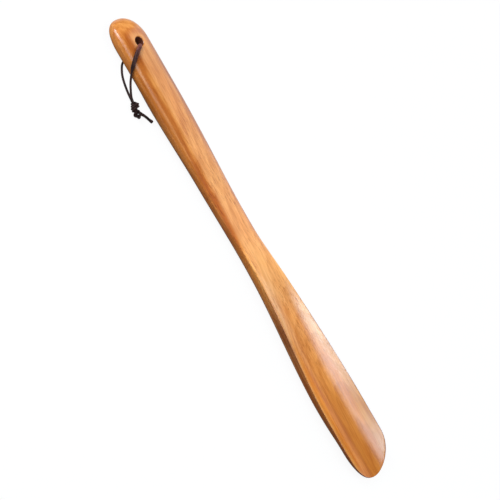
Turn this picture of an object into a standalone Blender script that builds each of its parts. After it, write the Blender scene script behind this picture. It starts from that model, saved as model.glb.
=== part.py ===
"""Long-handled wooden shoe horn with a knotted leather hanging thong.

Lengths are in metres. The horn lies on its back with the scoop facing up: +Z is up, the length
runs along Y with the handle's end at +Y and the tip at -Y, and Z = 0 is the surface it lies on.
"""

import math

import bmesh
import bpy
import numpy as np

# Overall
LENGTH = 0.380
AXIS_HEIGHT = 0.0086          # grip's centre plane above the surface that the horn lies on

# Grip
GRIP_WIDTH = 0.030
GRIP_FRONT = 0.0083           # front face above the centre plane
GRIP_BACK = 0.00885           # back below the centre plane, before the rest is sanded flat
GRIP_END_BACK = 0.0062        # the same at the hanging hole, where the back lifts for the thong
GRIP_ENDS_AT = 0.060          # from the handle's end, where the grip starts to taper
GRIP_BACK_FROM = 0.075        # the back is at its full depth from here
GRIP_BACK_TO = 0.137          # to here
END_ROUND = 0.0215            # length of the rounded handle's end, seen from the front
END_BACK_ROUND = 0.008        # length of the rounding at its back edge
END_DROP = 0.0025             # middle of the rounded end, below the centre plane

# Waist
WAIST_AT = 0.183              # from the handle's end
WAIST_WIDTH = 0.0228
WAIST_FRONT = 0.0041
WAIST_BACK = 0.0081

# Blade
BLADE_WIDTH = 0.0432
BLADE_WIDEST_FROM_TIP = 0.048
BLADE_BACK = 0.0089
BLADE_BACK_FROM_TIP = 0.090   # the back is at its full depth from here to the widest part
RIM_START_FROM_TIP = 0.155    # the rims sink from their height here
RIM_START = 0.0051            # rim above the centre plane, at the scoop's start
RIM_END = 0.0026              # and at the widest part
SCOOP_FROM_TIP = 0.195        # where the scoop begins
SCOOP_FULL_FROM_TIP = 0.078   # where it reaches its full depth
SCOOP_DEPTH = 0.0076
RIM_THICKNESS = 0.0013
TIP_ROUND = 0.0270            # length of the rounded tip
TIP_THICKNESS = 0.0014
TIP_LIFT_SHARE = 0.4          # of the back's lift at the tip, done where the tip starts to round

# Squareness of the sections: the powers of their superellipses, 2 for an ellipse
END_POWER = 2.25              # the handle's end, seen from the front
END_FRONT_POWER = 1.8         # the same end from the side, front edge
END_BACK_POWER = 2.3          # and back edge
GRIP_FRONT_POWER = 2.3
WAIST_FRONT_POWER = 3.2
RIM_POWER = 8.0
SCOOP_POWER = 2.2
HOLE_BACK_POWER = 3.0
GRIP_BACK_POWER = 2.25
NECK_BACK_POWER = 2.0         # halfway from the grip to the waist
WAIST_BACK_POWER = 2.5
BLADE_BACK_POWER = 2.8
TIP_BACK_POWER = 2.0

# Hanging hole
HOLE_FROM_END = 0.0227
HOLE_DIAMETER = 0.0070
COUNTERSINK = 0.0014

# Thong
THONG_DIAMETER = 0.0017
CLEARANCE = 0.0003

# Smoothness of the turned, swept and lofted shapes
RING_POINTS = 40
LENGTH_RINGS = 86
END_RINGS = 11
HOLE_STEPS = 32
LOOP_POINTS = 64
TAIL_POINTS = 9
ROUTE_STEPS = 24              # between two points of a thong's route
KNOT_STEPS = 20

# Thong points are measured from the hanging hole's axis, and up from the surface underneath.
# The loop runs from the knot over the front, down the hole and back under the handle.
LOOP_ROUTE = (
    (-0.0232, -0.0355, 0.0033),
    (-0.0227, -0.0325, 0.0037),
    (-0.0210, -0.0278, 0.0050),
    (-0.0194, -0.0240, 0.0063),
    (-0.0180, -0.0210, 0.0077),
    (-0.0163, -0.0170, 0.0105),
    (-0.0148, -0.0136, 0.0136),
    (-0.0119, -0.0100, 0.0160),
    (-0.0086, -0.0069, 0.0177),
    (-0.0060, -0.0049, 0.0182),
    (-0.0037, -0.0037, 0.0182),
    (-0.0021, -0.0029, 0.0177),
    (-0.0010, -0.0024, 0.0165),
    (-0.0006, -0.00216, 0.0146),
    (-0.0006, -0.00216, 0.0115),
    (-0.0006, -0.00216, 0.0080),
    (-0.0006, -0.00216, 0.0047),
    (-0.0010, -0.0024, 0.0027),
    (-0.0021, -0.0029, 0.0015),
    (-0.0037, -0.0037, 0.00100),
    (-0.0062, -0.0050, 0.00095),
    (-0.0114, -0.0078, 0.0010),
    (-0.0146, -0.0113, 0.0010),
    (-0.0171, -0.0153, 0.0010),
    (-0.0188, -0.0196, 0.0010),
    (-0.0200, -0.0241, 0.0010),
    (-0.0208, -0.0279, 0.0010),
    (-0.0213, -0.0316, 0.0010),
    (-0.0218, -0.0354, 0.0011),
)
LONG_TAIL_ROUTE = (
    (-0.0222, -0.0462, 0.0026),
    (-0.0204, -0.0477, 0.0025),
    (-0.0182, -0.0502, 0.0020),
    (-0.0163, -0.0528, 0.0014),
    (-0.0147, -0.0551, 0.0012),
)
SHORT_TAIL_ROUTE = (
    (-0.0221, -0.0437, 0.0010),
    (-0.0208, -0.0448, 0.0010),
    (-0.0195, -0.0460, 0.0010),
)

# The knot's turns: centre, and half sizes along X, Y and Z
KNOT_TURNS = (
    ((-0.0246, -0.0401, 0.0028), (0.0034, 0.0037, 0.0026)),
    ((-0.0256, -0.0450, 0.0025), (0.0031, 0.0030, 0.0023)),
)
KNOT_MOUTH = (-0.0226, -0.0355, 0.0023)  # where the two strands enter the collar
COLLAR_HALF_WIDTH = 0.0022
COLLAR_DEPTH = 0.0030


def clear_scene():
    for obj in list(bpy.data.objects):
        bpy.data.objects.remove(obj, do_unlink=True)


def make_collection(name):
    collection = bpy.data.collections.new(name)
    bpy.context.scene.collection.children.link(collection)
    return collection


def make_material(name, colour, roughness, metallic=0.0):
    material = bpy.data.materials.new(name)
    material.use_nodes = True
    shader = material.node_tree.nodes["Principled BSDF"]
    shader.inputs["Base Color"].default_value = (*colour, 1.0)
    shader.inputs["Roughness"].default_value = roughness
    shader.inputs["Metallic"].default_value = metallic
    material.diffuse_color = (*colour, 1.0)
    return material


def eased(at, stations):
    """Value at a distance, easing from each (distance, value) station to the next."""
    places, values = zip(*sorted(stations))
    step = int(np.clip(np.searchsorted(places, at) - 1, 0, len(places) - 2))
    share = float(np.clip((at - places[step]) / (places[step + 1] - places[step]), 0.0, 1.0))
    share = share * share * (3.0 - 2.0 * share)
    return values[step] + (values[step + 1] - values[step]) * share


def rounding(at, length, power=2.0):
    """Quarter superellipse: 0 at the end of the part, 1 once at reaches the length."""
    left = np.clip(1.0 - at / length, 0.0, 1.0)
    return (1.0 - left**power) ** (1.0 / power)


def hole_point(point):
    """A point measured from the hanging hole's axis, in the horn's frame."""
    return (point[0], 0.5 * LENGTH - HOLE_FROM_END + point[1], point[2])


def untrimmed_width(at):
    """Half width before the ends are rounded off."""
    return 0.5 * eased(
        at,
        (
            (GRIP_ENDS_AT, GRIP_WIDTH),
            (WAIST_AT, WAIST_WIDTH),
            (LENGTH - BLADE_WIDEST_FROM_TIP, BLADE_WIDTH),
        ),
    )


def front_height(at, across):
    """Front face above the centre plane: a flat face on the grip, a scoop on the blade."""
    rim = eased(
        at,
        (
            (GRIP_ENDS_AT, GRIP_FRONT),
            (WAIST_AT, WAIST_FRONT),
            (LENGTH - RIM_START_FROM_TIP, RIM_START),
            (LENGTH - BLADE_WIDEST_FROM_TIP, RIM_END),
        ),
    )
    depth = eased(
        at, ((LENGTH - SCOOP_FROM_TIP, 0.0), (LENGTH - SCOOP_FULL_FROM_TIP, SCOOP_DEPTH))
    )
    bowl = 1.0 - np.abs(across / untrimmed_width(at)) ** SCOOP_POWER
    front = rim - depth * bowl
    return (front + END_DROP) * rounding(at, END_ROUND, END_FRONT_POWER) - END_DROP


def back_depth(at):
    """Back below the centre plane, along the middle."""
    tip_back = SCOOP_DEPTH - RIM_END + TIP_THICKNESS
    back = eased(
        at,
        (
            (HOLE_FROM_END + HOLE_DIAMETER, GRIP_END_BACK),
            (GRIP_BACK_FROM, GRIP_BACK),
            (GRIP_BACK_TO, GRIP_BACK),
            (WAIST_AT, WAIST_BACK),
            (LENGTH - RIM_START_FROM_TIP, WAIST_BACK),
            (LENGTH - BLADE_BACK_FROM_TIP, BLADE_BACK),
            (LENGTH - BLADE_WIDEST_FROM_TIP, BLADE_BACK),
            (LENGTH - TIP_ROUND, BLADE_BACK + TIP_LIFT_SHARE * (tip_back - BLADE_BACK)),
            (LENGTH, tip_back),
        ),
    )
    return (back - END_DROP) * rounding(at, END_BACK_ROUND, END_BACK_POWER) + END_DROP


def body_ring(at):
    """One closed section of the horn: a superellipse back under a flat or scooped front."""
    end_share = rounding(at, END_ROUND, END_POWER)
    half = untrimmed_width(at) * end_share * rounding(LENGTH - at, TIP_ROUND)
    rims_start = LENGTH - RIM_START_FROM_TIP
    front_power = eased(
        at,
        (
            (GRIP_ENDS_AT, GRIP_FRONT_POWER),
            (WAIST_AT, WAIST_FRONT_POWER),
            (rims_start, RIM_POWER),
        ),
    )
    back_power = eased(
        at,
        (
            (HOLE_FROM_END, HOLE_BACK_POWER),
            (GRIP_ENDS_AT, GRIP_BACK_POWER),
            (0.5 * (GRIP_ENDS_AT + WAIST_AT), NECK_BACK_POWER),
            (WAIST_AT, WAIST_BACK_POWER),
            (LENGTH - SCOOP_FULL_FROM_TIP, BLADE_BACK_POWER),
            (LENGTH - TIP_ROUND, TIP_BACK_POWER),
        ),
    )
    edge = front_height(at, half) - eased(
        at, ((LENGTH - TIP_ROUND, RIM_THICKNESS), (LENGTH, 0.5 * TIP_THICKNESS))
    )
    to_rim = eased(at, ((GRIP_BACK_TO, 0.0), (rims_start, 1.0)))
    widest_height = to_rim * edge - (1.0 - to_rim) * END_DROP * (1.0 - end_share)
    turn = np.linspace(0.0, 2.0 * math.pi, RING_POINTS, endpoint=False)
    share = np.cos(turn)
    across = half * share
    rise = (1.0 - np.abs(share) ** front_power) ** (1.0 / front_power)
    fall = (1.0 - np.abs(share) ** back_power) ** (1.0 / back_power)
    front = widest_height + rise * (front_height(at, across) - widest_height)
    back = widest_height - fall * (back_depth(at) + widest_height)
    height = np.maximum(AXIS_HEIGHT + np.where(turn <= math.pi, front, back), 0.0)
    return [(x, 0.5 * LENGTH - at, z) for x, z in zip(across, height)]


def ring_places():
    """Distances of the rings from the handle's end, crowded where the two ends round off."""
    turn = np.linspace(0.0, 0.5 * math.pi, END_RINGS + 1)[1:]
    end = END_ROUND * (1.0 - np.cos(turn))
    tip = LENGTH - TIP_ROUND * (1.0 - np.cos(turn))
    middle = np.linspace(END_ROUND, LENGTH - TIP_ROUND, LENGTH_RINGS)
    return [*end, *middle[1:-1], *tip[::-1]]


def make_body(material, collection):
    """The carved wooden body, lofted through its sections and closed at both ends."""
    mesh = bmesh.new()
    rings = [[mesh.verts.new(point) for point in body_ring(at)] for at in ring_places()]
    for ring, following in zip(rings, rings[1:]):
        for side in range(RING_POINTS):
            after = (side + 1) % RING_POINTS
            mesh.faces.new((ring[side], ring[after], following[after], following[side]))
    end_height = AXIS_HEIGHT - END_DROP
    tip_height = AXIS_HEIGHT + RIM_END - SCOOP_DEPTH - 0.5 * TIP_THICKNESS
    end_point = mesh.verts.new((0.0, 0.5 * LENGTH, end_height))
    tip_point = mesh.verts.new((0.0, -0.5 * LENGTH, tip_height))
    for side in range(RING_POINTS):
        after = (side + 1) % RING_POINTS
        mesh.faces.new((end_point, rings[0][after], rings[0][side]))
        mesh.faces.new((tip_point, rings[-1][side], rings[-1][after]))
    bmesh.ops.recalc_face_normals(mesh, faces=mesh.faces)
    return finish_mesh("horn_body", mesh, material, collection)


def finish_mesh(name, mesh, material, collection):
    data = bpy.data.meshes.new(name)
    mesh.to_mesh(data)
    mesh.free()
    data.shade_smooth()
    data.materials.append(material)
    obj = bpy.data.objects.new(name, data)
    collection.objects.link(obj)
    return obj


def make_hole_cutter(collection):
    """Turned cutter of the hanging hole, with a countersink at the front and at the back."""
    radius = 0.5 * HOLE_DIAMETER
    beyond = 2.0 * COUNTERSINK
    front = AXIS_HEIGHT + GRIP_FRONT
    back = AXIS_HEIGHT - GRIP_END_BACK
    wide = radius + COUNTERSINK + beyond
    profile = (
        (0.0, front + beyond),
        (wide, front + beyond),
        (radius, front - COUNTERSINK),
        (radius, back + COUNTERSINK),
        (wide, back - beyond),
        (0.0, back - beyond),
    )
    mesh = bmesh.new()
    points = [mesh.verts.new((out, 0.0, up)) for out, up in profile]
    for point, following in zip(points, points[1:]):
        mesh.edges.new((point, following))
    data = bpy.data.meshes.new("hole_cutter")
    mesh.to_mesh(data)
    mesh.free()
    cutter = bpy.data.objects.new("hole_cutter", data)
    cutter.location = hole_point((0.0, 0.0, 0.0))
    cutter.hide_render = True
    cutter.display_type = "WIRE"
    collection.objects.link(cutter)
    screw = cutter.modifiers.new("turned", "SCREW")
    screw.axis = "Z"
    screw.steps = HOLE_STEPS
    screw.render_steps = HOLE_STEPS
    screw.use_merge_vertices = True
    screw.merge_threshold = 0.00001
    return cutter


def cut(obj, cutter):
    boolean = obj.modifiers.new("cut_" + cutter.name, "BOOLEAN")
    boolean.operation = "DIFFERENCE"
    boolean.solver = "EXACT"
    boolean.object = cutter


def smooth_route(route, count):
    """Points spaced evenly along a Catmull-Rom curve through the route's own points."""
    knots = np.array([hole_point(point) for point in route])
    padded = np.vstack([2.0 * knots[0] - knots[1], knots, 2.0 * knots[-1] - knots[-2]])
    share = np.linspace(0.0, 1.0, ROUTE_STEPS, endpoint=False)[:, None]
    stretches = []
    for before, start, end, after in zip(padded, padded[1:], padded[2:], padded[3:]):
        stretches.append(
            0.5
            * (
                2.0 * start
                + (end - before) * share
                + (2.0 * before - 5.0 * start + 4.0 * end - after) * share**2
                + (3.0 * start - before - 3.0 * end + after) * share**3
            )
        )
    fine = np.vstack([*stretches, knots[-1:]])
    walked = np.concatenate([[0.0], np.cumsum(np.linalg.norm(np.diff(fine, axis=0), axis=1))])
    wanted = np.linspace(0.0, walked[-1], count)
    return np.column_stack([np.interp(wanted, walked, fine[:, axis]) for axis in range(3)])


def make_thong(name, route, count, material, collection):
    """A round leather strand: a bevelled curve along the smoothed route."""
    curve = bpy.data.curves.new(name, "CURVE")
    curve.dimensions = "3D"
    curve.bevel_depth = 0.5 * THONG_DIAMETER
    curve.bevel_resolution = 2
    curve.use_fill_caps = True
    spline = curve.splines.new("POLY")
    points = smooth_route(route, count)
    spline.points.add(len(points) - 1)
    for point, place in zip(spline.points, points):
        point.co = (*place, 1.0)
    curve.materials.append(material)
    strand = bpy.data.objects.new(name, curve)
    collection.objects.link(strand)
    return strand


def make_knot(material, collection, cutters):
    """The tied knot: a collar where the two strands enter, and two fat turns below it."""
    mouth = hole_point(KNOT_MOUTH)
    mesh = bmesh.new()
    bmesh.ops.create_cone(
        mesh,
        cap_ends=True,
        segments=KNOT_STEPS,
        radius1=COLLAR_HALF_WIDTH,
        radius2=COLLAR_HALF_WIDTH,
        depth=COLLAR_DEPTH,
    )
    for vert in mesh.verts:
        x, y, z = vert.co
        along = mouth[1] - CLEARANCE - 0.5 * COLLAR_DEPTH + z
        vert.co = (mouth[0] + x, along, mouth[2] - y)
    knot = finish_mesh("thong_knot", mesh, material, collection)
    for number, (centre, half_sizes) in enumerate(KNOT_TURNS, start=1):
        mesh = bmesh.new()
        bmesh.ops.create_uvsphere(
            mesh, u_segments=KNOT_STEPS, v_segments=KNOT_STEPS // 2, radius=1.0
        )
        middle = hole_point(centre)
        for vert in mesh.verts:
            vert.co = [at + half * part for at, half, part in zip(middle, half_sizes, vert.co)]
        turn = finish_mesh(f"knot_turn_{number}", mesh, material, cutters)
        turn.hide_render = True
        turn.display_type = "WIRE"
        union = knot.modifiers.new(f"turn_{number}", "BOOLEAN")
        union.operation = "UNION"
        union.solver = "EXACT"
        union.object = turn
    return knot


def build():
    clear_scene()
    parts = make_collection("long_shoe_horn")
    cutters = make_collection("cutters")
    wood = make_material("lacquered_wood", (0.72, 0.36, 0.13), 0.22)
    leather = make_material("dark_leather", (0.045, 0.025, 0.02), 0.55)
    body = make_body(wood, parts)
    cut(body, make_hole_cutter(cutters))
    make_thong("thong_loop", LOOP_ROUTE, LOOP_POINTS, leather, parts)
    make_knot(leather, parts, cutters)
    make_thong("thong_tail_long", LONG_TAIL_ROUTE, TAIL_POINTS, leather, parts)
    make_thong("thong_tail_short", SHORT_TAIL_ROUTE, TAIL_POINTS, leather, parts)


build()
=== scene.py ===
"""Long wooden shoe horn with a knotted leather hanging thong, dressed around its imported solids.

Lengths are in metres. The horn lies on its back with the scoop up: +Z is up, the handle's end is at
+Y, the blade's tip at -Y, and Z = 0 is the surface underneath.
"""

import math

import bpy
import numpy as np
from mathutils import Matrix, Vector


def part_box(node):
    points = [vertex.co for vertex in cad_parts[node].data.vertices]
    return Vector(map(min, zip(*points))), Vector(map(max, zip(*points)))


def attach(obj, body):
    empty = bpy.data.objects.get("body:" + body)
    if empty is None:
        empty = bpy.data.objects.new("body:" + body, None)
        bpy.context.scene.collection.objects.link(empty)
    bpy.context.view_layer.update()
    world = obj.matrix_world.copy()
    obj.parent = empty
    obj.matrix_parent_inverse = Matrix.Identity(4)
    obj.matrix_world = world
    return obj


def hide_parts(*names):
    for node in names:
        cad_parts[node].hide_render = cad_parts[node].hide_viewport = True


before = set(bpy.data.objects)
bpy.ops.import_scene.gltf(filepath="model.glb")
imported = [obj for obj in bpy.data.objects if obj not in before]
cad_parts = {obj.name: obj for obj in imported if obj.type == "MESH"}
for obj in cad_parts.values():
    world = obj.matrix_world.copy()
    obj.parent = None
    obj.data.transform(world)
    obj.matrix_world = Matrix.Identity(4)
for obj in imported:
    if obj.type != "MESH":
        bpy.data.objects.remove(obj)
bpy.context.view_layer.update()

# The camera stands square to the horn's length, 45 degrees above the side that the thong lies on.
# It looks through a long lens, and is rolled until the handle points to the picture's upper left.
PICTURE_PIXELS = 500.0
PICTURE_WIDTH = 0.3616
HORN_MIDDLE_PIXEL = (248.8, 246.1)
LENS_MM = 180.0
SENSOR_MM = 36.0
SIDE_ANGLE = math.radians(45.0)
ROLL_ANGLE = math.radians(30.0)
GRIP_AXIS_HEIGHT = 0.0086

towards_tip = Vector((0.0, -1.0, 0.0))
towards_camera = Vector((-math.sin(SIDE_ANGLE), 0.0, math.cos(SIDE_ANGLE)))
across_horn = Vector((math.cos(SIDE_ANGLE), 0.0, math.sin(SIDE_ANGLE)))
picture_right = math.sin(ROLL_ANGLE) * towards_tip + math.cos(ROLL_ANGLE) * across_horn
picture_up = -math.cos(ROLL_ANGLE) * towards_tip + math.sin(ROLL_ANGLE) * across_horn
pixel = PICTURE_WIDTH / PICTURE_PIXELS
aim = (
    Vector((0.0, 0.0, GRIP_AXIS_HEIGHT))
    + (0.5 * PICTURE_PIXELS - HORN_MIDDLE_PIXEL[0]) * pixel * picture_right
    - (0.5 * PICTURE_PIXELS - HORN_MIDDLE_PIXEL[1]) * pixel * picture_up
)
camera = bpy.data.objects.new("camera", bpy.data.cameras.new("camera"))
camera.data.lens = LENS_MM
camera.data.sensor_width = SENSOR_MM
camera.data.clip_start = 0.01
camera.data.clip_end = 20.0
turned = Matrix((picture_right, picture_up, towards_camera)).transposed()
camera.matrix_world = (
    Matrix.Translation(aim + towards_camera * PICTURE_WIDTH * LENS_MM / SENSOR_MM) @ turned.to_4x4()
)
bpy.context.scene.collection.objects.link(camera)
bpy.context.scene.camera = camera
bpy.context.scene.view_settings.view_transform = "Standard"

# The thong is one round leather strand, about as thick as a thick bootlace. It runs from the knot
# over the grip, down the hanging hole and back underneath, as the solids of its stretches do.
HOLE_CENTRE = 0.1673
THONG_DIAMETER = 0.0017
THONG_AROUND = 20
STRAND_REFERENCE = np.array((0.80, -0.42, 0.43))
CURVE_STEPS = 24
NEVER_ZERO = 1e-9
LOOP_RINGS = 420
# Where the strand presses on the grip's front it has spread to this many times its width.
PRESSED_WIDTH = 1.90
PRESSED_FROM_ABOVE = 0.0096
PRESSED_EASE = 0.003
HOLE_MOUTH = 0.0029
MOUTH_EASE = 0.0012
LOOP_ROUTE = (
    (-0.0232, -0.0355, 0.0033),
    (-0.0227, -0.0325, 0.0037),
    (-0.0210, -0.0278, 0.0050),
    (-0.0194, -0.0240, 0.0063),
    (-0.0180, -0.0210, 0.0077),
    (-0.0163, -0.0170, 0.0105),
    (-0.0148, -0.0136, 0.0136),
    (-0.0119, -0.0100, 0.0160),
    (-0.0086, -0.0069, 0.0177),
    (-0.0060, -0.0049, 0.0182),
    (-0.0037, -0.0037, 0.0182),
    (-0.0021, -0.0029, 0.0177),
    (-0.0010, -0.0024, 0.0165),
    (-0.0006, -0.00216, 0.0146),
    (-0.0006, -0.00216, 0.0115),
    (-0.0006, -0.00216, 0.0080),
    (-0.0006, -0.00216, 0.0047),
    (-0.0010, -0.0024, 0.0027),
    (-0.0021, -0.0029, 0.0015),
    (-0.0037, -0.0037, 0.0010),
    (-0.0062, -0.0050, 0.00095),
    (-0.0114, -0.0078, 0.0010),
    (-0.0146, -0.0113, 0.0010),
    (-0.0171, -0.0153, 0.0010),
    (-0.0188, -0.0196, 0.0010),
    (-0.0200, -0.0241, 0.0010),
    (-0.0208, -0.0279, 0.0010),
    (-0.0213, -0.0316, 0.0010),
    (-0.0218, -0.0354, 0.0011),
)


def from_hole(route):
    """Points given from the hanging hole's axis, in the frame: only Y is shifted."""
    return np.array(route, float) + (0.0, HOLE_CENTRE, 0.0)


def smooth_line(points, count):
    """Evenly spaced points of a Catmull-Rom curve: each stretch is a cubic whose slope at a point is
    half the step from the point before it to the point after it."""
    points = np.asarray(points, float)
    padded = np.vstack([2 * points[0] - points[1], points, 2 * points[-1] - points[-2]])
    before, start, end, after = padded[:-3], padded[1:-2], padded[2:-1], padded[3:]
    share = np.linspace(0.0, 1.0, CURVE_STEPS, endpoint=False)[:, None, None]
    cubic = 0.5 * (
        2 * start
        + (end - before) * share
        + (2 * before - 5 * start + 4 * end - after) * share**2
        + (3 * start - before - 3 * end + after) * share**3
    )
    fine = np.vstack([cubic.transpose(1, 0, 2).reshape(-1, 3), points[-1:]])
    walked = np.concatenate([[0.0], np.cumsum(np.linalg.norm(np.diff(fine, axis=0), axis=1))])
    wanted = np.linspace(0.0, walked[-1], count)
    return np.stack([np.interp(wanted, walked, fine[:, axis]) for axis in range(3)], axis=1)


def grid_faces(rows, columns):
    """Corner numbers of the quads of a grid whose columns close into rings, row after row."""
    row, column = np.meshgrid(np.arange(rows - 1), np.arange(columns), indexing="ij")
    here = row * columns + column
    beside = row * columns + (column + 1) % columns
    return np.stack([here, beside, beside + columns, here + columns], axis=-1).reshape(-1, 4)


def closed_rings(name, rings, first_pole, last_pole):
    """A closed mesh through rings of equal size, with a fan of triangles to a pole at each end."""
    rows, columns = rings.shape[:2]
    places = np.vstack([rings.reshape(-1, 3), first_pole, last_pole])
    side = np.arange(columns)
    after = (side + 1) % columns
    first = np.stack([np.full(columns, rows * columns), after, side], axis=1)
    base = (rows - 1) * columns
    last = np.stack([np.full(columns, rows * columns + 1), base + side, base + after], axis=1)
    faces = [*grid_faces(rows, columns).tolist(), *first.tolist(), *last.tolist()]
    mesh = bpy.data.meshes.new(name)
    mesh.from_pydata(places.tolist(), [], faces)
    mesh.update()
    mesh.shade_smooth()
    piece = bpy.data.objects.new(name, mesh)
    bpy.context.scene.collection.objects.link(piece)
    return piece


def strand(name, line, swell=1.0, flatter=None):
    """A round tube carried along a line: at each point a circle as wide as the thong, times swell, in
    the plane square to the line. The circle's first axis is square to a fixed slanting direction that
    the thong never follows. Flatter gives a vector square to the line at each point, along which the
    circle is stretched to 1 plus the vector's length. UV is the share of a turn and the metres along.
    """
    ahead = np.gradient(line, axis=0)
    ahead /= np.linalg.norm(ahead, axis=1)[:, None]
    side = np.cross(STRAND_REFERENCE, ahead)
    side /= np.linalg.norm(side, axis=1)[:, None]
    lift = np.cross(ahead, side)
    turn = np.linspace(0.0, 2.0 * math.pi, THONG_AROUND, endpoint=False)[None, :, None]
    radius = 0.5 * THONG_DIAMETER * swell * np.ones(len(line))
    out = side[:, None] * np.cos(turn) + lift[:, None] * np.sin(turn)
    if flatter is not None:
        length = np.maximum(np.linalg.norm(flatter, axis=1), NEVER_ZERO)[:, None, None]
        out = out + (out @ flatter[:, :, None]) * flatter[:, None] / length
    rings = line[:, None] + radius[:, None, None] * out
    piece = closed_rings(name, rings, line[0], line[-1])
    walked = np.concatenate([[0.0], np.cumsum(np.linalg.norm(np.diff(line, axis=0), axis=1))])
    along = np.concatenate([np.repeat(walked, THONG_AROUND), [0.0, walked[-1]]])
    around = np.concatenate([np.tile(np.arange(THONG_AROUND) / THONG_AROUND, len(line)), [0.0, 0.0]])
    corners = np.zeros(len(piece.data.loops), np.int32)
    piece.data.loops.foreach_get("vertex_index", corners)
    coordinates = np.stack([around[corners], along[corners]], axis=1)
    layer = piece.data.uv_layers.new(name="strand")
    layer.uv.foreach_set("vector", coordinates.astype(np.float32).ravel())
    return piece


def node(tree, kind, **settings):
    """A shader node with its sockets and properties set by name, sockets from links or values."""
    made = tree.nodes.new(kind)
    for key, value in settings.items():
        name = key.replace("_", " ")
        if hasattr(made, key) and not any(s.name.lower() == name.lower() for s in made.inputs):
            setattr(made, key, value)
            continue
        socket = next(s for s in made.inputs if s.name.lower() == name.lower() and s.enabled)
        if isinstance(value, bpy.types.NodeSocket):
            tree.links.new(value, socket)
        else:
            socket.default_value = value
    return made


def spread(tree, value, low, high):
    """0 at low, 1 at high, and a smooth step between. Low may be the larger of the two."""
    made = node(tree, "ShaderNodeMapRange", interpolation_type="SMOOTHSTEP", Value=value)
    made.inputs["From Min"].default_value = low
    made.inputs["From Max"].default_value = high
    return made.outputs["Result"]


def blend(tree, factor, first, second, blend_type="MIX"):
    """A colour mix; first and second are links or (red, green, blue)."""
    made = node(tree, "ShaderNodeMix", data_type="RGBA", blend_type=blend_type)
    for socket, value in zip((made.inputs[0], made.inputs[6], made.inputs[7]), (factor, first, second)):
        if isinstance(value, bpy.types.NodeSocket):
            tree.links.new(value, socket)
        else:
            socket.default_value = (*value, 1.0) if isinstance(value, tuple) else value
    return made.outputs[2]


DARK_LEATHER = ((0.005, 0.0035, 0.0035), (0.042, 0.018, 0.016))
# Painted highlight: the paler, redder leather colours laid on the strand where it bends into the
# hanging hole.
HIGHLIT_LEATHER = ((0.040, 0.013, 0.011), (0.210, 0.066, 0.054))
LEATHER_STOPS = (0.40, 0.62)
LEATHER_GLOSS_TINT = (1.0, 0.74, 0.70)
MOTTLES_A_METRE = 900.0
BLOTCHES_A_METRE = 160.0
CREASES_A_METRE = 2600.0
# Where the strand's painted highlight is centred, how far it reaches and where it is full.
HIGHLIGHT_AT = (0.0, HOLE_CENTRE, 0.0185)
HIGHLIGHT_REACH = 0.022
HIGHLIGHT_FULL = 0.3 * HIGHLIGHT_REACH


def leather_finish():
    """Dyed, lightly waxed leather: mottled and nearly black, with fine creases, and a paler, redder
    brown painted highlight where it bends over into the hanging hole."""
    material = bpy.data.materials.new("dark_leather")
    material.use_nodes = True
    tree = material.node_tree
    shader = tree.nodes["Principled BSDF"]
    place = node(tree, "ShaderNodeTexCoord").outputs["Object"]
    mottle = node(
        tree, "ShaderNodeTexNoise", Vector=place, Scale=MOTTLES_A_METRE, Detail=4.0, Roughness=0.6
    )
    blotch = node(tree, "ShaderNodeTexNoise", Vector=place, Scale=BLOTCHES_A_METRE, Detail=2.0)
    both = node(tree, "ShaderNodeMix", Factor=0.5)
    tree.links.new(mottle.outputs["Fac"], both.inputs[2])
    tree.links.new(blotch.outputs["Fac"], both.inputs[3])
    dark = node(tree, "ShaderNodeValToRGB", Fac=both.outputs[0])
    highlit = node(tree, "ShaderNodeValToRGB", Fac=both.outputs[0])
    for ramp, colours in ((dark, DARK_LEATHER), (highlit, HIGHLIT_LEATHER)):
        for stop, at, colour in zip(ramp.color_ramp.elements, LEATHER_STOPS, colours):
            stop.position = at
            stop.color = (*colour, 1.0)
    from_highlight = node(tree, "ShaderNodeVectorMath", operation="SUBTRACT")
    tree.links.new(place, from_highlight.inputs[0])
    from_highlight.inputs[1].default_value = HIGHLIGHT_AT
    reach = node(tree, "ShaderNodeVectorMath", operation="LENGTH")
    tree.links.new(from_highlight.outputs["Vector"], reach.inputs[0])
    near = spread(tree, reach.outputs["Value"], HIGHLIGHT_REACH, HIGHLIGHT_FULL)
    colour = blend(tree, near, dark.outputs["Color"], highlit.outputs["Color"])
    tree.links.new(colour, shader.inputs["Base Color"])
    shader.inputs["Roughness"].default_value = 0.50
    shader.inputs["Specular IOR Level"].default_value = 0.15
    shader.inputs["Specular Tint"].default_value = (*LEATHER_GLOSS_TINT, 1.0)
    crease = node(
        tree, "ShaderNodeTexNoise", Vector=place, Scale=CREASES_A_METRE, Detail=3.0, Roughness=0.7
    )
    bump = node(tree, "ShaderNodeBump", Strength=0.35, Distance=0.0001)
    tree.links.new(crease.outputs["Fac"], bump.inputs["Height"])
    tree.links.new(bump.outputs["Normal"], shader.inputs["Normal"])
    return material


def pressed(line):
    """How the strand spreads over the grip's rounded front, for strand's flatter: sideways, which is
    square to the line and to the radius from the grip's middle, by PRESSED_WIDTH - 1 times a share
    that eases in with the line's height and out again as it nears the hanging hole's axis."""
    radial = line * (1.0, 0.0, 1.0) - (0.0, 0.0, GRIP_AXIS_HEIGHT)
    aside = np.cross(np.gradient(line, axis=0), radial)
    aside /= np.linalg.norm(aside, axis=1)[:, None]
    high = np.clip((line[:, 2] - PRESSED_FROM_ABOVE) / PRESSED_EASE, 0.0, 1.0)
    from_axis = np.hypot(line[:, 0], line[:, 1] - HOLE_CENTRE)
    share = high * np.clip((from_axis - HOLE_MOUTH) / MOUTH_EASE, 0.0, 1.0)
    return (PRESSED_WIDTH - 1.0) * (share * share * (3.0 - 2.0 * share))[:, None] * aside


leather = leather_finish()
loop_line = smooth_line(from_hole(LOOP_ROUTE), LOOP_RINGS)
loop = strand("hanging_loop", loop_line, flatter=pressed(loop_line))
loop.data.materials.append(leather)
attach(loop, "thong")
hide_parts("thong_loop")

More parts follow.
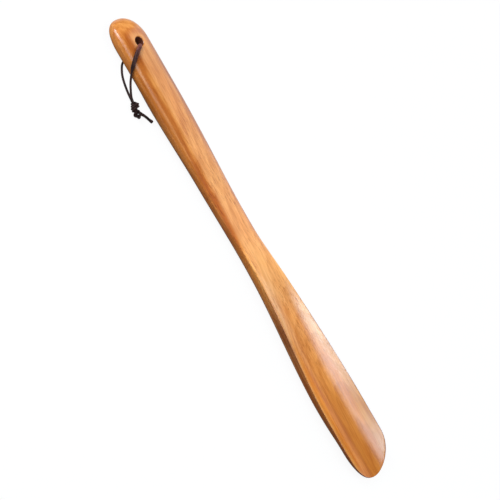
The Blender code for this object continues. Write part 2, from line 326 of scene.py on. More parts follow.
# The knot ties the strand to itself: both ends together in a doubled overhand knot, and below it the
# longer end once more by itself. It is pulled tight, so its turns lie against each other.
KNOT_CENTRE = (-0.0243, -0.0404, 0.0033)
KNOT_DOWN = (-0.66, -0.75, 0.0)
KNOT_SCALE = (0.98, 1.40, 0.95)
DOUBLED_TURN = (
    (-0.1, -0.9, -0.55),
    (-0.1, 0.2, -0.70),
    (0.1, 1.1, -0.65),
    (0.8, 1.5, -0.30),
    (1.35, 1.1, 0.40),
    (0.9, 0.4, 1.15),
    (0.0, -0.3, 1.35),
    (-1.0, -0.8, 1.00),
    (-1.5, -1.2, 0.10),
    (-1.0, -1.6, -1.00),
    (0.0, -1.6, -1.40),
    (1.0, -1.3, -0.90),
    (1.1, -0.7, 0.00),
    (0.5, 0.0, 0.45),
    (0.0, 0.9, 0.35),
    (-0.1, 1.7, 0.10),
)
SINGLE_CENTRE = (-0.0247, -0.0462, 0.0027)
SINGLE_DOWN = (0.35, -0.94, 0.0)
SINGLE_SCALE = (1.05, 0.72, 0.95)
LONG_TAIL_ROUTE = (
    (-0.0222, -0.0462, 0.0026),
    (-0.0204, -0.0477, 0.0025),
    (-0.0182, -0.0502, 0.0020),
    (-0.0163, -0.0528, 0.0014),
    (-0.0147, -0.0551, 0.0012),
)
SHORT_TAIL_ROUTE = (
    (-0.0221, -0.0437, 0.0010),
    (-0.0208, -0.0448, 0.0010),
    (-0.0195, -0.0460, 0.0010),
)
SETTLING_ROUNDS = 130
SMOOTHING_SHARE = 0.35
PUSH_SHARE = 0.5
# In thong diameters: how near two strands' middles come, how low a middle lies, and the stretch of a
# strand that doesn't press on itself.
LEATHER_GIVES = 0.95
LOWEST_MIDDLE = 0.55
ONE_STRETCH = 1.6
STRAIGHT_ON = 0.30
HELD_POINTS = 7
LONG_STRAND_POINTS = 190
LONG_STRAND_RINGS = 300
SHORT_STRAND_POINTS = 120
SHORT_STRAND_RINGS = 200
TAIL_RINGS = 60
TAIL_SWELL = ((0.0, 0.30, 0.75, 0.92, 1.0), (1.50, 1.22, 1.18, 1.48, 1.42))


def knot_points(turn, centre, down, scale):
    """A turn given in thong diameters (to the side, down the knot, up), times the scale of each, at
    its place in the frame."""
    down = np.array(down) / np.linalg.norm(down)
    up = np.array((0.0, 0.0, 1.0))
    aside = np.cross(down, up)
    turn = np.array(turn) * scale * THONG_DIAMETER
    middle = from_hole([centre])[0]
    return middle + turn[:, :1] * aside + turn[:, 1:2] * down + turn[:, 2:] * up


def side_by_side(line, centre, down):
    """Which way a doubled strand's second line lies: square to the line and to the knot's radius."""
    down = np.array(down) / np.linalg.norm(down)
    ahead = np.gradient(line, axis=0)
    out = line - from_hole([centre])[0]
    out = out - (out @ down)[:, None] * down
    beside = np.cross(ahead, out)
    return beside / np.linalg.norm(beside, axis=1)[:, None]


def settle(lines, held):
    """Pulls the strands of a knot tight: in each round every point moves a share of the way to the
    middle of its two neighbours, then points of strands that press into each other move apart along
    the line between them, and nothing sinks below the surface underneath. Held points stay."""
    number = np.concatenate([np.full(len(line), index) for index, line in enumerate(lines)])
    step = np.concatenate([np.arange(len(line)) for line in lines])
    places = np.vstack(lines)
    free = ~np.concatenate(held)
    spacing = np.linalg.norm(np.diff(lines[0], axis=0), axis=1).mean()
    apart = int(math.ceil(ONE_STRETCH * THONG_DIAMETER / spacing))
    near = (number[:, None] == number[None, :]) & (np.abs(step[:, None] - step[None, :]) < apart)
    inner = free & (step > 0)
    for _ in range(SETTLING_ROUNDS):
        middles = places.copy()
        middles[1:-1] = 0.5 * (places[:-2] + places[2:])
        places = np.where(inner[:, None], places + SMOOTHING_SHARE * (middles - places), places)
        between = places[:, None] - places[None, :]
        distance = np.linalg.norm(between, axis=2)
        short = np.clip(LEATHER_GIVES * THONG_DIAMETER - distance, 0.0, None)
        short[near] = 0.0
        push = (between * (short / (distance + NEVER_ZERO))[:, :, None]).sum(1)
        presses = np.maximum((short > 0.0).sum(1), 1)[:, None]
        places = np.where(free[:, None], places + PUSH_SHARE * push / presses, places)
        places[:, 2] = np.maximum(places[:, 2], LOWEST_MIDDLE * THONG_DIAMETER)
    return np.split(places, np.cumsum([len(line) for line in lines])[:-1])


def knotted(end, before, onwards, count):
    """A strand's line from just inside the loop's end through the points onwards, and which of its
    points are held: the first few, which follow the loop's last step straight on, and the last two."""
    start = end + np.array((-1.0, 0.0, 1.0))[:, None] * STRAIGHT_ON * (end - before)
    held = np.zeros(count, bool)
    held[[*range(HELD_POINTS), -2, -1]] = True
    return smooth_line(np.vstack([start, *onwards]), count), held


loop_points = from_hole(LOOP_ROUTE)
doubled = knot_points(DOUBLED_TURN, KNOT_CENTRE, KNOT_DOWN, KNOT_SCALE)
beside = 0.5 * THONG_DIAMETER * LEATHER_GIVES * side_by_side(doubled, KNOT_CENTRE, KNOT_DOWN)
single = knot_points(DOUBLED_TURN, SINGLE_CENTRE, SINGLE_DOWN, SINGLE_SCALE)
long_tail = from_hole(LONG_TAIL_ROUTE)
short_tail = from_hole(SHORT_TAIL_ROUTE)
long_line, held_long = knotted(
    loop_points[0],
    loop_points[1],
    [doubled + beside, single[1:-1], long_tail[:1]],
    LONG_STRAND_POINTS,
)
short_line, held_short = knotted(
    loop_points[-1],
    loop_points[-2],
    [doubled - beside, short_tail[:1]],
    SHORT_STRAND_POINTS,
)
long_line, short_line = settle([long_line, short_line], [held_long, held_short])
knot = strand("tied_knot", smooth_line(long_line, LONG_STRAND_RINGS))
second = strand("tied_knot_second", smooth_line(short_line, SHORT_STRAND_RINGS))
along_tail = np.linspace(0.0, 1.0, TAIL_RINGS)
tails = [
    strand("long_tail", smooth_line(long_tail, TAIL_RINGS), np.interp(along_tail, *TAIL_SWELL)),
    strand("short_tail", smooth_line(short_tail, TAIL_RINGS)),
]
for piece in (knot, second, *tails):
    piece.data.materials.append(leather)
    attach(piece, "thong")
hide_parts("thong_knot")
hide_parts("thong_knot")
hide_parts("thong_tail_long")
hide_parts("thong_tail_short")

# The horn is one length of hardwood, carved with a rounded grip, a slim waist and a scooped blade,
# sanded to two flats on which it lies, and lacquered. Its sections are those of its solid.
LOWEST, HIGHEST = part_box("horn_body")
LENGTH = HIGHEST.y - LOWEST.y
# Of the sizes below, those that end in _AT, _FROM and _TO are distances from the handle's end.
GRIP_WIDTH = 0.030
GRIP_FRONT = 0.0083
GRIP_BACK = 0.00885
GRIP_END_BACK = 0.0062
GRIP_ENDS_AT = 0.060
GRIP_BACK_FROM = 0.075
GRIP_BACK_TO = 0.137
END_ROUND = 0.0215
END_BACK_ROUND = 0.008
END_DROP = 0.0025
WAIST_AT = 0.183
WAIST_WIDTH = 0.0228
WAIST_FRONT = 0.0041
WAIST_BACK = 0.0081
BLADE_WIDTH = 0.0432
WIDEST_AT = LENGTH - 0.048
BLADE_BACK = 0.0089
BLADE_BACK_AT = LENGTH - 0.090
RIMS_FROM = LENGTH - 0.155
RIM_START = 0.0051
RIM_END = 0.0026
SCOOP_FROM = LENGTH - 0.195
SCOOP_FULL_AT = LENGTH - 0.078
SCOOP_DEPTH = 0.0076
RIM_THICKNESS = 0.0013
TIP_ROUND = 0.0270
TIP_FROM = LENGTH - TIP_ROUND
TIP_THICKNESS = 0.0014
TIP_BACK = SCOOP_DEPTH - RIM_END + TIP_THICKNESS
TIP_LIFT_SHARE = 0.4
HOLE_FROM_END = 0.0227
HOLE_DIAMETER = 0.0070
COUNTERSINK = 0.0014
# The powers of the scoop's curve and of the superellipses, where 2 makes a plain ellipse.
SCOOP_POWER = 2.2
END_FRONT_POWER = 1.8
END_BACK_POWER = 2.3
END_OUTLINE_POWER = 2.25
GRIP_FRONT_POWER = 2.3
HOLE_BACK_POWER = 3.0
FRONT_POWERS = ((GRIP_ENDS_AT, GRIP_FRONT_POWER), (WAIST_AT, 3.2), (RIMS_FROM, 8.0))
BACK_POWERS = (
    (HOLE_FROM_END, HOLE_BACK_POWER),
    (GRIP_ENDS_AT, 2.25),
    (0.5 * (GRIP_ENDS_AT + WAIST_AT), 2.0),
    (WAIST_AT, 2.5),
    (SCOOP_FULL_AT, 2.8),
    (TIP_FROM, 2.0),
)
# How the body, the hole's cutter and the rims' painted line of shade are drawn.
BODY_RINGS = 330
BODY_END_RINGS = 60
QUARTER_POINTS = 42
RIM_CROWDING = 1.6
BORE_POINTS = 96
FLARE_FIRST_STEP = 0.1
FLARE_RINGS = 9
FLARE_OVER = 0.00003
CUTTER_STEP = 1.001
CUTTER_OVER = 0.004
RIM_SHADE_SHARE = 0.955
RIM_SHADE_BLUR = 0.035
RIM_SHADE_RUN = 0.030
NARROWEST = 1e-6


def eased(at, *stations):
    """Goes from each (distance, value) station to the next with the smooth step 3t^2 - 2t^3."""
    places, values = (np.array(column, float) for column in zip(*sorted(stations)))
    step = np.clip(np.searchsorted(places, at) - 1, 0, len(places) - 2)
    share = np.clip((at - places[step]) / (places[step + 1] - places[step]), 0.0, 1.0)
    return values[step] + (values[step + 1] - values[step]) * share * share * (3.0 - 2.0 * share)


def rounding(at, length, power=2.0):
    """Quarter superellipse, (1 - (1 - at/length)^p)^(1/p): 0 at the end of the wood, and 1 from the
    length on."""
    return (1.0 - np.clip(1.0 - at / length, 0.0, 1.0) ** power) ** (1.0 / power)


def untrimmed_half(at):
    """Half the width from the grip over the waist to the blade, before the ends are rounded off."""
    widths = ((GRIP_ENDS_AT, GRIP_WIDTH), (WAIST_AT, WAIST_WIDTH), (WIDEST_AT, BLADE_WIDTH))
    return 0.5 * eased(at, *widths)


def front_height(at, across):
    """The front above the grip's middle plane: the rims' height less the scoop's depth times
    1 - |across/half width|^p, rounded off at the handle's end."""
    rim = eased(
        at,
        (GRIP_ENDS_AT, GRIP_FRONT),
        (WAIST_AT, WAIST_FRONT),
        (RIMS_FROM, RIM_START),
        (WIDEST_AT, RIM_END),
    )
    depth = eased(at, (SCOOP_FROM, 0.0), (SCOOP_FULL_AT, SCOOP_DEPTH))
    front = rim - depth * (1.0 - np.abs(across / untrimmed_half(at)) ** SCOOP_POWER)
    return (front + END_DROP) * rounding(at, END_ROUND, END_FRONT_POWER) - END_DROP


def back_depth(at):
    """The back below the middle plane along the middle, rounded off at the handle's end."""
    back = eased(
        at,
        (HOLE_FROM_END + HOLE_DIAMETER, GRIP_END_BACK),
        (GRIP_BACK_FROM, GRIP_BACK),
        (GRIP_BACK_TO, GRIP_BACK),
        (WAIST_AT, WAIST_BACK),
        (RIMS_FROM, WAIST_BACK),
        (BLADE_BACK_AT, BLADE_BACK),
        (WIDEST_AT, BLADE_BACK),
        (TIP_FROM, BLADE_BACK + TIP_LIFT_SHARE * (TIP_BACK - BLADE_BACK)),
        (LENGTH, TIP_BACK),
    )
    return (back - END_DROP) * rounding(at, END_BACK_ROUND, END_BACK_POWER) + END_DROP


def horn_surface(at, turn):
    """The horn over its length (at) and around it (turn): a superellipse front and back that meet at
    the widest line, x = half width times cos(turn), height = widest line plus or minus
    (1 - |cos(turn)|^p)^(1/p) times the rise to the front or the fall to the back. Nothing goes below
    Z = 0, which leaves the two flats."""
    end_share = rounding(at, END_ROUND, END_OUTLINE_POWER)
    half = untrimmed_half(at) * end_share * rounding(LENGTH - at, TIP_ROUND)
    front_power = eased(at, *FRONT_POWERS)
    back_power = eased(at, *BACK_POWERS)
    edge = front_height(at, half) - eased(at, (TIP_FROM, RIM_THICKNESS), (LENGTH, 0.5 * TIP_THICKNESS))
    to_rim = eased(at, (GRIP_BACK_TO, 0.0), (RIMS_FROM, 1.0))
    widest = to_rim * edge - (1.0 - to_rim) * END_DROP * (1.0 - end_share)
    share = np.cos(turn)
    across = half * share
    rise = (1.0 - np.abs(share) ** front_power) ** (1.0 / front_power)
    fall = (1.0 - np.abs(share) ** back_power) ** (1.0 / back_power)
    front = widest + rise * (front_height(at, across) - widest)
    back = widest - fall * (back_depth(at) + widest)
    height = np.maximum(GRIP_AXIS_HEIGHT + np.where(turn <= math.pi, front, back), 0.0)
    return np.stack([across, 0.5 * LENGTH - at + 0.0 * across, height], axis=-1)


def bore_surface(turn, step):
    """The hanging hole's cutter: a straight bore that flares at both faces along a quarter circle as
    wide as the countersink. Step runs from -1 at the back's face to 1 at the front's. The flare follows
    the face's own height around the hole, ends a hair above it (FLARE_OVER), and the steps past -1 and
    1 carry the cutter on into the open (CUTTER_OVER)."""
    radius = 0.5 * HOLE_DIAMETER
    bend = np.clip(np.abs(step), 0.0, 1.0) * 0.5 * math.pi
    out = radius + COUNTERSINK * (1.0 - np.cos(bend))
    x = out * np.cos(turn)
    at = HOLE_FROM_END - out * np.sin(turn)
    half = untrimmed_half(at) * rounding(at, END_ROUND, END_OUTLINE_POWER)
    rise = (1.0 - np.abs(x / half) ** GRIP_FRONT_POWER) ** (1.0 / GRIP_FRONT_POWER)
    fall = (1.0 - np.abs(x / half) ** HOLE_BACK_POWER) ** (1.0 / HOLE_BACK_POWER)
    face = np.where(step > 0.0, front_height(at, x) * rise, -back_depth(at) * fall)
    sunk = COUNTERSINK * (1.0 - np.sin(bend)) - FLARE_OVER
    past = CUTTER_OVER * (np.abs(step) > 1.0)
    height = GRIP_AXIS_HEIGHT + face - np.sign(step) * (sunk - past)
    return np.stack([x, 0.5 * LENGTH - at, height], axis=-1)


quarter = 0.5 * math.pi * np.linspace(0.0, 1.0, QUARTER_POINTS + 1) ** RIM_CROWDING
half_turn = np.concatenate([quarter, math.pi - quarter[-2:0:-1]])
turns = np.concatenate([half_turn, half_turn + math.pi])
end_bend = np.linspace(0.0, 0.5 * math.pi, BODY_END_RINGS + 1)[1:]
stations = np.concatenate(
    [
        END_ROUND * (1.0 - np.cos(end_bend)),
        np.linspace(END_ROUND, LENGTH - TIP_ROUND, BODY_RINGS)[1:-1],
        (LENGTH - TIP_ROUND * (1.0 - np.cos(end_bend)))[::-1],
    ]
)
rings = horn_surface(stations[:, None], turns[None, :])
end_pole = (0.0, 0.5 * LENGTH, GRIP_AXIS_HEIGHT - END_DROP)
tip_pole = (0.0, -0.5 * LENGTH, GRIP_AXIS_HEIGHT + RIM_END - SCOOP_DEPTH - 0.5 * TIP_THICKNESS)
horn = closed_rings("carved_horn", rings[:, ::-1], end_pole, tip_pole)
bore_turns = np.linspace(0.0, 2.0 * math.pi, BORE_POINTS, endpoint=False)
bore_steps = np.concatenate(
    [
        [-CUTTER_STEP],
        np.linspace(-1.0, -FLARE_FIRST_STEP, FLARE_RINGS),
        np.linspace(FLARE_FIRST_STEP, 1.0, FLARE_RINGS),
        [CUTTER_STEP],
    ]
)
bore_rings = bore_surface(bore_turns[None, :], bore_steps[:, None])
cutter = closed_rings("bore", bore_rings, bore_rings[0].mean(0), bore_rings[-1].mean(0))
bored = horn.modifiers.new("bore", "BOOLEAN")
bored.operation = "DIFFERENCE"
bored.solver = "EXACT"
bored.object = cutter
bpy.context.view_layer.update()
finished = bpy.data.meshes.new_from_object(horn.evaluated_get(bpy.context.evaluated_depsgraph_get()))
horn.modifiers.clear()
horn.data = finished
horn.data.shade_smooth()
bpy.data.objects.remove(cutter)


def of_vertices(mesh, what):
    """The places ("co") or directions ("normal") of a mesh's vertices, one row each."""
    values = np.zeros(3 * len(mesh.vertices), np.float32)
    mesh.vertices.foreach_get(what, values)
    return values.reshape(-1, 3)


def mark(mesh, name, values):
    """One number per vertex, which the lacquered wood's finish reads."""
    layer = mesh.attributes.new(name, "FLOAT", "POINT")
    layer.data.foreach_set("value", values.astype(np.float32))


places = of_vertices(finished, "co")
mark(finished, "faces_up", of_vertices(finished, "normal")[:, 2])
from_end = 0.5 * LENGTH - places[:, 1]
outline = untrimmed_half(from_end) * rounding(LENGTH - from_end, TIP_ROUND) + NARROWEST
# How near the blade's rims a vertex is, for the painted line of shade there.
near_rim_shade = np.clip((np.abs(places[:, 0]) / outline - RIM_SHADE_SHARE) / RIM_SHADE_BLUR, 0.0, 1.0)
mark(finished, "rim", near_rim_shade * np.clip((from_end - RIMS_FROM) / RIM_SHADE_RUN, 0.0, 1.0))

# The wood's tones lie along the horn from 0 at the tip to 1 at the handle's end, and the painted
# shade of the sides is factors on them. A _NOISE is marks per metre across, how many times longer
# they are, detail and slant. Of two limits, the first is where something starts and the second where it
# shows in full.
TONES_ALONG = (
    (0.09, (0.54, 0.240, 0.050)),
    (0.17, (0.62, 0.292, 0.068)),
    (0.24, (0.71, 0.358, 0.112)),
    (0.33, (0.76, 0.420, 0.185)),
    (0.44, (0.86, 0.405, 0.108)),
    (0.55, (0.90, 0.420, 0.125)),
    (0.66, (0.78, 0.355, 0.095)),
    (0.77, (0.80, 0.355, 0.095)),
    (0.88, (0.65, 0.265, 0.062)),
    (0.98, (0.69, 0.325, 0.100)),
)
# Painted shade: factors that darken the sides and the underside, which face away from the lamps.
SIDE_SHADE_ALONG = (
    (0.08, (0.96, 0.74, 0.46)),
    (0.40, (0.96, 0.74, 0.46)),
    (0.53, (0.66, 0.46, 0.32)),
    (0.64, (0.76, 0.56, 0.36)),
    (0.78, (0.71, 0.58, 0.42)),
    (0.89, (0.80, 0.68, 0.50)),
    (0.98, (0.98, 0.80, 0.56)),
)
CLOUD_NOISE = (60.0, 3.0, 2.0)
CLOUD_MOVES_TONE = 0.16
CLOUD_LIFTS_FACE = 0.014
# Painted light and shade: above this height, which rises along the horn and dips near the grip, the lit
# face keeps its paler tone, and below it the sides take the painted shade.
LIT_FACE_ABOVE = 0.0119
LIT_FACE_RISE = 0.029
LIT_FACE_BLUR = 0.0011
LIT_FACE_DIPS_AT = 0.098
LIT_FACE_DIP_REACH = 0.05
LIT_FACE_DIP = 0.0013
# Painted shade: a dark line along the edge of the lit face, on the grip and the waist.
SHADE_LINE_BELOW = 0.0012
SHADE_LINE_ACROSS = (0.0011, 0.0003)
SHADE_LINE_ALONG = (-0.05, 0.03)
SHADE_LINE = (0.80, 0.66, 0.52)
# Painted light: the scoop's left inner wall, which faces the lamps, made paler.
LIT_WALL_ACROSS = (-0.002, -0.011)
LIT_WALL_ALONG = (-0.075, -0.115)
LIT_WALL = (1.25, 1.21, 1.10)
GRAIN_SLANT = math.radians(1.6)
FIGURE_NOISE = (150.0, 6.0, 3.0, -GRAIN_SLANT)
FIGURE_LIMITS = (0.36, 0.64)
FIGURE_DARK = (0.90, 0.80, 0.68)
FIGURE_PALE = (1.04, 1.06, 1.10)
# The pith, given across and up, is where the tree's growth rings would have their middle.
PITH = (0.034, -0.070)
PITH_SLOPE = 0.075
RING_WIDTH = 0.0031
RING_NOISE = (45.0, 4.0, 3.0)
RING_WOBBLE = 0.006
RING_DARKENS = (0.25, 0.90)
RING_ENDS = (1.0, 0.93)
RING_SHARE = 0.22
FIBRE_NOISE = (1100.0, 26.0, 3.0, GRAIN_SLANT)
FIBRE_LIMITS = (0.30, 0.72)
FIBRE_SHARE = 0.34
BAND_NOISE = (330.0, 22.0, 4.0, GRAIN_SLANT)
BAND_LIMITS = (0.34, 0.68)
BAND_SHARE = 0.26
DARK_GRAIN = (0.66, 0.47, 0.24)
PALE_GRAIN = (1.10, 1.12, 1.2)
PORE_NOISE = (2300.0, 16.0, 1.0, -2.5 * GRAIN_SLANT)
PORE_LIMITS = (0.57, 0.65)
CLUSTER_NOISE = (90.0, 3.0, 1.0)
CLUSTER_LIMITS = (0.30, 0.55)
PORES_FROM_WAIST = (0.15, 0.03)
PORES_LEAST = 0.22
PORES_MORE = 0.48
PORE_COLOUR = (0.50, 0.33, 0.21)
# Painted shade: the darker colour along the blade's rims.
RIM_SHADE = (0.52, 0.36, 0.26)
# Painted shade in the hanging hole's bore, over its bare end grain.
BORE_SHADE = (0.110, 0.032, 0.018)
COAT_FACING = (-0.1, 0.65)
THIN_COAT = 0.20
WORN_AT = -0.140
WORN_REACH = 0.040
WORN_ACROSS = (0.009, 0.017)
WORN_COAT = 0.50


def calculate(tree, operation, *values):
    """A maths node's result, from links or plain numbers."""
    made = tree.nodes.new("ShaderNodeMath")
    made.operation = operation
    for socket, value in zip(made.inputs, values):
        if isinstance(value, bpy.types.NodeSocket):
            tree.links.new(value, socket)
        else:
            socket.default_value = value
    return made.outputs[0]


def how_far(tree, value, from_value):
    """How far a value is from another, without its sign."""
    return calculate(tree, "ABSOLUTE", calculate(tree, "SUBTRACT", value, from_value))


def diagonal(tree, first, second):
    """The square root of the sum of two squares."""
    squares = calculate(tree, "MULTIPLY_ADD", first, first, calculate(tree, "MULTIPLY", second, second))
    return calculate(tree, "SQRT", squares)


def long_noise(tree, place, across, longer, detail, slant=0.0):
    """Noise whose marks are 1/across metres wide and the given number of times longer."""
    turned = node(tree, "ShaderNodeMapping", Vector=place, Rotation=(0.0, 0.0, slant))
    pulled = node(tree, "ShaderNodeMapping", Vector=turned.outputs[0], Scale=(1.0, 1.0 / longer, 1.0))
    made = node(tree, "ShaderNodeTexNoise", Vector=pulled.outputs[0], Scale=across, Detail=detail)
    return made.outputs["Fac"]


def colour_run(tree, value, stations):
    """The colour at a value between (place, colour) stations."""
    run = node(tree, "ShaderNodeValToRGB", Fac=value)
    stops = run.color_ramp.elements
    stops[0].position = stations[0][0]
    stops[1].position = stations[-1][0]
    for at, _ in stations[1:-1]:
        stops.new(at)
    for stop, (_, colour) in zip(stops, stations):
        stop.color = (*colour, 1.0)
    return run.outputs["Color"]


def wood_finish():
    """Reddish orange hardwood under clear lacquer. Its tone changes along the horn. The sides and the
    underside carry painted shade, so the lit face is paler, with a painted line of shade where they
    meet, and the scoop's left inner wall carries painted light. On that lie a cloudy figure, growth
    rings cut at a slant, long fibres and bands, short dark pores, a painted line of shade along the
    rims and painted shade in the bore, over its bare end grain. The lacquer is thinner on the sides,
    underneath and on one worn place."""
    material = bpy.data.materials.new("lacquered_wood")
    material.use_nodes = True
    tree = material.node_tree
    shader = tree.nodes["Principled BSDF"]
    place = node(tree, "ShaderNodeTexCoord").outputs["Object"]
    x, y, z = node(tree, "ShaderNodeSeparateXYZ", Vector=place).outputs

    cloud = long_noise(tree, place, *CLOUD_NOISE)
    cloud = calculate(tree, "MULTIPLY_ADD", cloud, CLOUD_MOVES_TONE, -0.5 * CLOUD_MOVES_TONE)
    along = calculate(tree, "ADD", calculate(tree, "MULTIPLY_ADD", y, 1.0 / LENGTH, 0.5), cloud)
    tone = colour_run(tree, along, TONES_ALONG)
    # Painted light and shade: the lit face keeps the tone, and the sides below it get the painted
    # shade.
    lit_face_height = calculate(tree, "MULTIPLY_ADD", y, -LIT_FACE_RISE, z)
    lit_face_height = calculate(tree, "MULTIPLY_ADD", cloud, CLOUD_LIFTS_FACE, lit_face_height)
    lit_face_dip = spread(tree, how_far(tree, y, LIT_FACE_DIPS_AT), LIT_FACE_DIP_REACH, 0.0)
    lit_face_height = calculate(tree, "MULTIPLY_ADD", lit_face_dip, -LIT_FACE_DIP, lit_face_height)
    face = spread(tree, lit_face_height, LIT_FACE_ABOVE - LIT_FACE_BLUR, LIT_FACE_ABOVE + LIT_FACE_BLUR)
    shaded_side_tone = blend(tree, 1.0, tone, colour_run(tree, along, SIDE_SHADE_ALONG), "MULTIPLY")
    tone = blend(tree, face, shaded_side_tone, tone)
    # Painted shade: a dark line along the edge of the lit face, on the grip and the waist.
    line = spread(tree, how_far(tree, lit_face_height, LIT_FACE_ABOVE - SHADE_LINE_BELOW), *SHADE_LINE_ACROSS)
    line = calculate(tree, "MULTIPLY", line, spread(tree, y, *SHADE_LINE_ALONG))
    tone = blend(tree, line, tone, SHADE_LINE, "MULTIPLY")
    # Painted light: the scoop's left inner wall, which faces the lamps, made paler.
    left = spread(tree, x, *LIT_WALL_ACROSS)
    left = calculate(tree, "MULTIPLY", left, spread(tree, y, *LIT_WALL_ALONG))
    tone = blend(tree, left, tone, LIT_WALL, "MULTIPLY")
    figure = spread(tree, long_noise(tree, place, *FIGURE_NOISE), *FIGURE_LIMITS)
    dark_figure = blend(tree, 1.0, tone, FIGURE_DARK, "MULTIPLY")
    tone = blend(tree, figure, dark_figure, blend(tree, 1.0, tone, FIGURE_PALE, "MULTIPLY"))

    across = calculate(tree, "SUBTRACT", x, PITH[0])
    deep = calculate(tree, "SUBTRACT", calculate(tree, "MULTIPLY_ADD", y, PITH_SLOPE, z), PITH[1])
    radius = diagonal(tree, across, deep)
    wobble = calculate(tree, "MULTIPLY", long_noise(tree, place, *RING_NOISE), RING_WOBBLE)
    turns = calculate(tree, "DIVIDE", calculate(tree, "ADD", radius, wobble), RING_WIDTH)
    year = calculate(tree, "FRACT", turns)
    late = spread(tree, year, *RING_DARKENS)
    late = calculate(tree, "MULTIPLY", late, spread(tree, year, *RING_ENDS))

    fibres = spread(tree, long_noise(tree, place, *FIBRE_NOISE), *FIBRE_LIMITS)
    bands = spread(tree, long_noise(tree, place, *BAND_NOISE), *BAND_LIMITS)
    grain = calculate(tree, "MULTIPLY", bands, BAND_SHARE)
    grain = calculate(tree, "MULTIPLY_ADD", fibres, FIBRE_SHARE, grain)
    grain = calculate(tree, "MULTIPLY_ADD", late, RING_SHARE, grain)
    darker = blend(tree, 1.0, tone, DARK_GRAIN, "MULTIPLY")
    paler = blend(tree, 1.0, tone, PALE_GRAIN, "MULTIPLY")
    wood = blend(tree, grain, paler, darker)

    dashes = spread(tree, long_noise(tree, place, *PORE_NOISE), *PORE_LIMITS)
    cluster = spread(tree, long_noise(tree, place, *CLUSTER_NOISE), *CLUSTER_LIMITS)
    waist = spread(tree, calculate(tree, "ABSOLUTE", y), *PORES_FROM_WAIST)
    shown = calculate(tree, "MULTIPLY_ADD", waist, PORES_MORE, PORES_LEAST)
    pores = calculate(tree, "MULTIPLY", calculate(tree, "MULTIPLY", dashes, cluster), shown)
    pored = blend(tree, pores, wood, PORE_COLOUR, "MULTIPLY")
    # Painted shade inside the hanging hole's bore, over its bare end grain.
    reach = diagonal(tree, x, calculate(tree, "SUBTRACT", y, HOLE_CENTRE))
    inside = spread(tree, reach, 0.5 * HOLE_DIAMETER + 0.5 * COUNTERSINK, 0.5 * HOLE_DIAMETER)
    # Painted shade along the blade's rims.
    rim = node(tree, "ShaderNodeAttribute", attribute_name="rim").outputs["Fac"]
    pored = blend(tree, rim, pored, RIM_SHADE, "MULTIPLY")
    tree.links.new(blend(tree, inside, pored, BORE_SHADE), shader.inputs["Base Color"])

    faces_up = node(tree, "ShaderNodeAttribute", attribute_name="faces_up").outputs["Fac"]
    coat = spread(tree, faces_up, *COAT_FACING)
    coat = calculate(tree, "MULTIPLY_ADD", coat, 1.0 - THIN_COAT, THIN_COAT)
    worn = spread(tree, how_far(tree, y, WORN_AT), WORN_REACH, 0.0)
    worn = calculate(tree, "MULTIPLY", worn, spread(tree, x, *WORN_ACROSS))
    left_on = calculate(tree, "MULTIPLY_ADD", worn, WORN_COAT - 1.0, 1.0)
    tree.links.new(calculate(tree, "MULTIPLY", coat, left_on), shader.inputs["Coat Weight"])
    bump = node(tree, "ShaderNodeBump", Strength=0.09, Distance=0.0001, Height=fibres)
    tree.links.new(bump.outputs["Normal"], shader.inputs["Normal"])
    shader.inputs["Roughness"].default_value = 0.36
    shader.inputs["Specular IOR Level"].default_value = 0.0
    shader.inputs["Coat Roughness"].default_value = 0.22
    return material


horn.data.materials.clear()
horn.data.materials.append(wood_finish())
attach(horn, "horn")
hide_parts("horn_body")

# The floor is a plain sheet. The camera, and any gloss, sees it nearly at its own white, with the
# horn's soft shadow on it. To all other light it is grey, so it throws little light under the horn.
FLOOR_SIZE = 6.0
FLOOR_DROP = 0.0002
FLOOR_SEEN = (0.92, 0.92, 0.92)
FLOOR_GREY = (0.14, 0.14, 0.14)
FLOOR_OWN_WHITE = 0.93
floor_corners = [
    (0.5 * FLOOR_SIZE * x, 0.5 * FLOOR_SIZE * y, -FLOOR_DROP)
    for x, y in ((-1.0, -1.0), (1.0, -1.0), (1.0, 1.0), (-1.0, 1.0))
]
sheet = bpy.data.meshes.new("floor")
sheet.from_pydata(floor_corners, [], [(0, 1, 2, 3)])
floor = bpy.data.objects.new("floor", sheet)
bpy.context.scene.collection.objects.link(floor)
white = bpy.data.materials.new("white_sheet")
white.use_nodes = True
tree = white.node_tree
tree.nodes.clear()


def seen_directly(tree):
    """1 for what the camera sees, also in a gloss or through something clear, and 0 for plain light."""
    path = node(tree, "ShaderNodeLightPath")
    sight = path.outputs["Is Camera Ray"]
    for name in ("Is Glossy Ray", "Is Transmission Ray"):
        sight = calculate(tree, "MAXIMUM", sight, path.outputs[name])
    return sight


sight = seen_directly(tree)
colour = blend(tree, sight, FLOOR_GREY, FLOOR_SEEN)
lit = node(tree, "ShaderNodeBsdfDiffuse", Color=colour)
own = node(tree, "ShaderNodeEmission", Color=(1.0, 1.0, 1.0, 1.0), Strength=1.0)
mixed = node(tree, "ShaderNodeMixShader")
tree.links.new(calculate(tree, "MULTIPLY", sight, FLOOR_OWN_WHITE), mixed.inputs[0])
tree.links.new(lit.outputs[0], mixed.inputs[1])
tree.links.new(own.outputs[0], mixed.inputs[2])
tree.links.new(mixed.outputs[0], node(tree, "ShaderNodeOutputMaterial").inputs["Surface"])
sheet.materials.append(white)

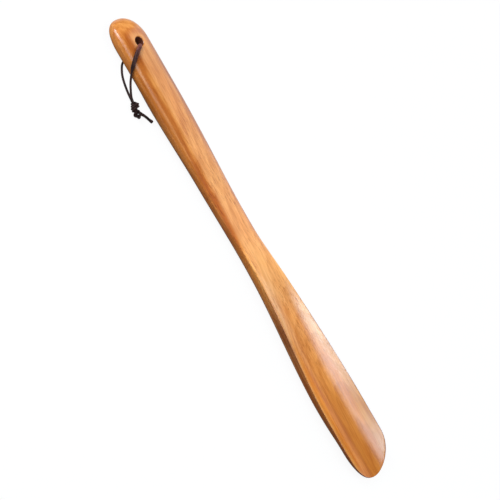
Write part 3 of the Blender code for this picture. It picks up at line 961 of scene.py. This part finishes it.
# Soft, slightly cool studio light in a dim grey room. Each lamp is given by its angle from overhead
# (towards the thong's side is plus), its place along the horn in metres, its size across and along,
# and its brightness, where 1 is white. All of them stand at one distance from the horn's middle line.
ROOM_LIGHT = 0.13
LAMP_COLOUR = (0.90, 0.97, 1.04)
LAMP_DISTANCE = 0.70
FAR_ALONG = 2.0 * LENGTH
LAMPS = {
    "blade_lamp_wide": (9.0, -0.235, (0.60, 0.13), 2.3),
    "blade_lamp_middle": (12.0, -0.23, (0.46, 0.14), 3.2),
    "blade_lamp_core": (7.0, -0.215, (0.32, 0.19), 3.0),
    "blade_lamp_right": (18.0, -0.245, (0.28, 0.11), 5.8),
    "blade_lamp_lead": (-8.0, -0.150, (0.26, 0.16), 3.4),
    "far_lamp": (-54.0, 0.235, (0.94, 0.55), 0.6),
    "far_lamp_longer": (-55.0, 0.195, (0.94, 0.63), 0.5),
    "far_lamp_longest": (-56.0, 0.155, (0.94, 0.71), 0.25),
    "far_low_lamp": (-76.0, -0.22, (0.50, 0.60), 0.45),
    "far_tip_lamp": (-60.0, -0.75, (0.22, 0.50), 4.0),
    "streak_lamp_end": (37.0, 1.00, (0.38, 0.60), 13.0),
    "streak_lamp_grip": (36.0, 0.55, (0.30, 0.30), 6.5),
    "streak_lamp_hole": (38.0, 0.255, (0.28, 0.10), 3.6),
    "streak_lamp_neck": (36.0, 0.27, (0.34, 0.26), 1.2),
    "streak_lamp_waist": (36.0, 0.04, (0.24, 0.20), 0.5),
    "near_end_lamp": (62.0, 0.95, (0.22, 0.60), 1.5),
}


def lamp(name, angle, along, size, brightness):
    """A rectangular lamp that faces the horn's middle line at right angles, or the horn's middle when
    it stands further along than FAR_ALONG. Its watts are pi times its area times its brightness."""
    light = bpy.data.lights.new(name, "AREA")
    light.shape = "RECTANGLE"
    light.color = LAMP_COLOUR
    light.size, light.size_y = size
    light.energy = math.pi * size[0] * size[1] * brightness
    made = bpy.data.objects.new(name, light)
    turn = math.radians(angle)
    back = Vector((-math.sin(turn), 0.0, math.cos(turn)))
    place = LAMP_DISTANCE * back + Vector((0.0, along, 0.0))
    if abs(along) > FAR_ALONG:
        back = place.normalized()
    side = Vector((0.0, 1.0, 0.0)).cross(back).normalized()
    facing = Matrix((side, back.cross(side), back)).transposed()
    made.matrix_world = Matrix.Translation(place) @ facing.to_4x4()
    bpy.context.scene.collection.objects.link(made)


for name, (angle, along, size, brightness) in LAMPS.items():
    lamp(name, angle, along, size, brightness)

world = bpy.data.worlds.new("room")
bpy.context.scene.world = world
world.use_nodes = True
world.node_tree.nodes["Background"].inputs["Color"].default_value = (1.0, 1.0, 1.0, 1.0)
world.node_tree.nodes["Background"].inputs["Strength"].default_value = ROOM_LIGHT
